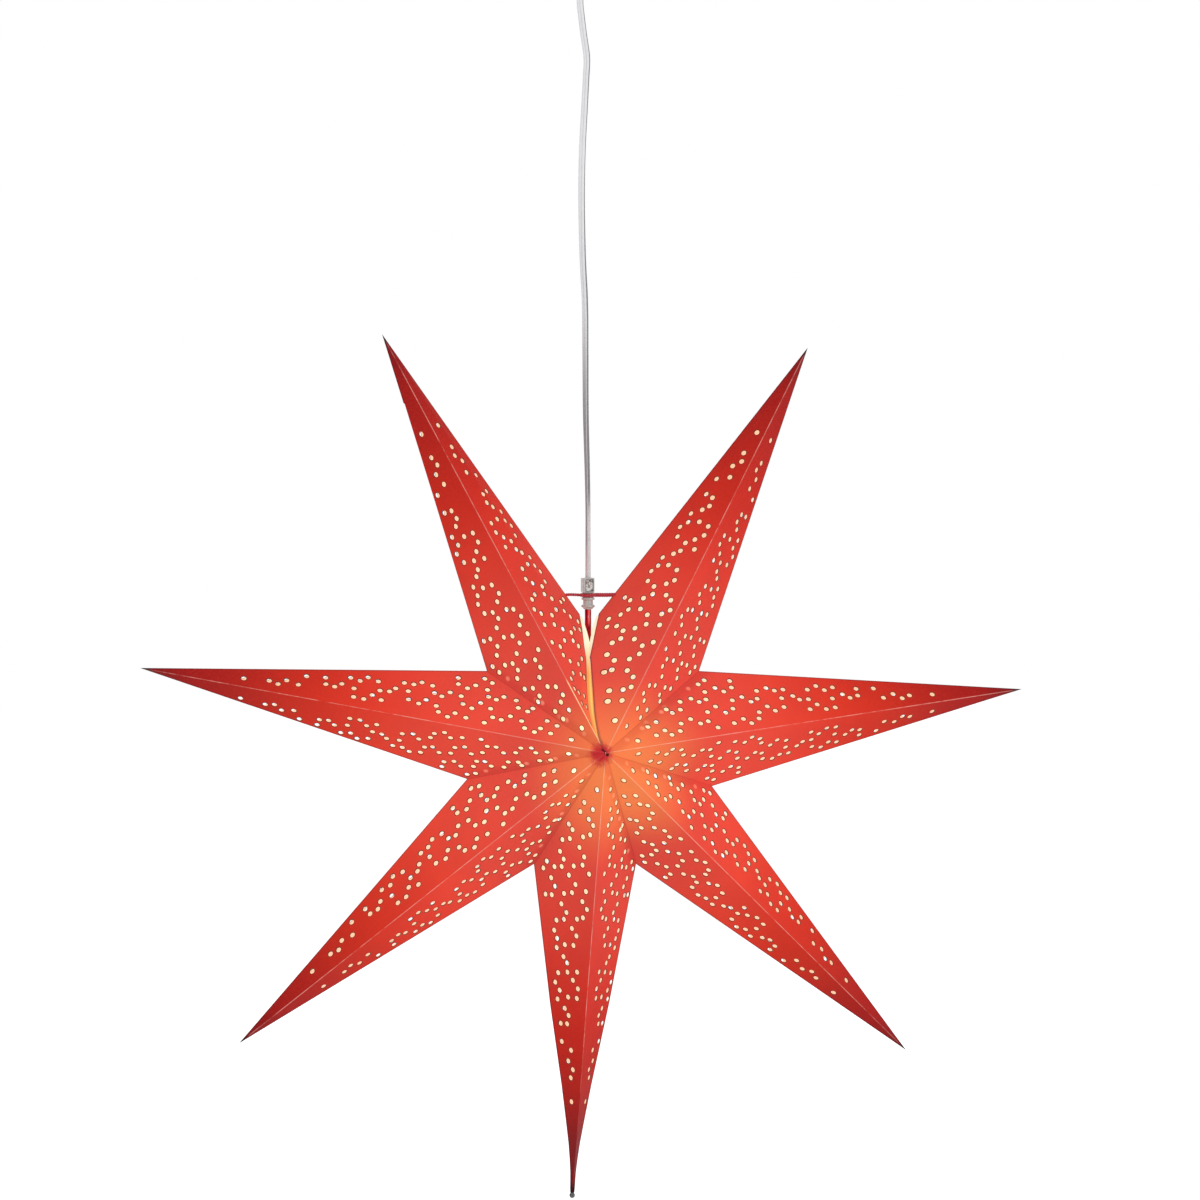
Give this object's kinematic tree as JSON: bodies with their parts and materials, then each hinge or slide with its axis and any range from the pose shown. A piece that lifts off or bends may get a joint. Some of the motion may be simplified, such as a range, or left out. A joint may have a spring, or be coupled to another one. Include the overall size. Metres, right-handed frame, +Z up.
{
  "type": "paper star lantern",
  "caption": "Folded and perforated red paper star with hollow points, hung by a string from a clip on a pale flex, with a bulb inside and a ceiling cup",
  "frame": {"origin": "centre of the ceiling plate's flat top, where it meets the ceiling", "axes": "+Z up out of the ceiling, the star's front faces -Y, +X to the right as seen from the front"},
  "size_m": [0.6919, 0.1234, 1.0371],
  "materials": {
    "zinc": "zinc-plated sheet steel",
    "zinc_screw": "zinc-plated screws",
    "white_metal": "white powder coat",
    "white_screw": "white lacquered screws",
    "terminal_plastic": "natural terminal block",
    "flex": "clear flat twin flex over bright wires",
    "boot": "white soft strain relief",
    "red_sleeve": "red sleeve",
    "holder_plastic": "white lampholder plastic",
    "holder_ceramic": "unglazed insulator",
    "holder_brass": "bright brass",
    "solder": "solder",
    "bulb_brass": "bulb cap",
    "bulb_glass": "frosted glass",
    "stem_glass": "clear glass",
    "filament": "glowing wire",
    "clip_plastic": "clear moulded plastic",
    "jaw_plastic": "ridged plastic jaw",
    "red_string": "red cotton string",
    "red_card": "matt printed card, cream inside",
    "bead_metal": "bright bead"
  },
  "bodies": {
    "ceiling": {"ceiling_plate": "zinc", "plate_screw_left": "zinc_screw", "plate_screw_right": "zinc_screw", "ceiling_cup": "white_metal", "cup_screw_front": "white_screw", "cup_screw_back": "white_screw", "terminal_block": "terminal_plastic", "inner_cord": "flex"},
    "strain_relief": {"strain_relief": "boot"},
    "flex": {"pendant_cord": "flex", "cord_sleeve": "red_sleeve", "holder_cap": "holder_plastic", "holder_body": "holder_plastic", "holder_insulator": "holder_ceramic", "holder_shell": "holder_brass", "holder_contact": "holder_brass"},
    "bulb_base": {"bulb_contact": "solder"},
    "bulb": {"bulb_cap": "bulb_brass", "bulb_glass": "bulb_glass", "bulb_stem": "stem_glass", "bulb_filament": "filament"},
    "clip": {"clip_housing": "clip_plastic"},
    "jaw": {"clip_jaw": "jaw_plastic"},
    "string": {"tie_string": "red_string"},
    "star": {"point_1": "red_card", "point_2": "red_card", "point_3": "red_card", "point_4": "red_card", "point_5": "red_card", "point_6": "red_card", "point_7": "red_card", "tip_bead": "bead_metal"}
  },
  "joints": [
    {"name": "swing_fore", "type": "hinge", "parent": "ceiling", "child": "strain_relief", "pos_m": [0, 0, -0.03782], "axis": [1, 0, 0], "range_deg": [-15, 15]},
    {"name": "swing_side", "type": "hinge", "parent": "strain_relief", "child": "flex", "pos_m": [0, 0, -0.06922], "axis": [0, 1, 0], "range_deg": [-15, 15]},
    {"name": "clip_slide", "type": "slide", "parent": "flex", "child": "clip", "axis": [0, 0, 1], "range_m": [0, 0.03]},
    {"name": "clip_jaw", "type": "slide", "parent": "clip", "child": "jaw", "axis": [0, -1, 0], "range_m": [0, 0.0012]},
    {"name": "star_turn", "type": "hinge", "parent": "clip", "child": "string", "pos_m": [0.0019, 0, -0.55342], "axis": [0, 0, 1], "range_deg": [-180, 180]},
    {"name": "star_nod", "type": "hinge", "parent": "string", "child": "star", "pos_m": [0.0019, 0, -0.55342], "axis": [1, 0, 0], "range_deg": [-6, 6]},
    {"name": "bulb_travel", "type": "slide", "parent": "flex", "child": "bulb_base", "axis": [0, 0, -1], "range_m": [0, 0.00846]},
    {"name": "bulb_turn", "type": "hinge", "parent": "bulb_base", "child": "bulb", "pos_m": [0.0019, 0, -0.62412], "axis": [0, 0, -1], "range_deg": [0, 1080]}
  ],
  "couplings": [
    {"joint": "bulb_travel", "follows": "bulb_turn", "m_per_rad": 0.00044882}
  ]
}
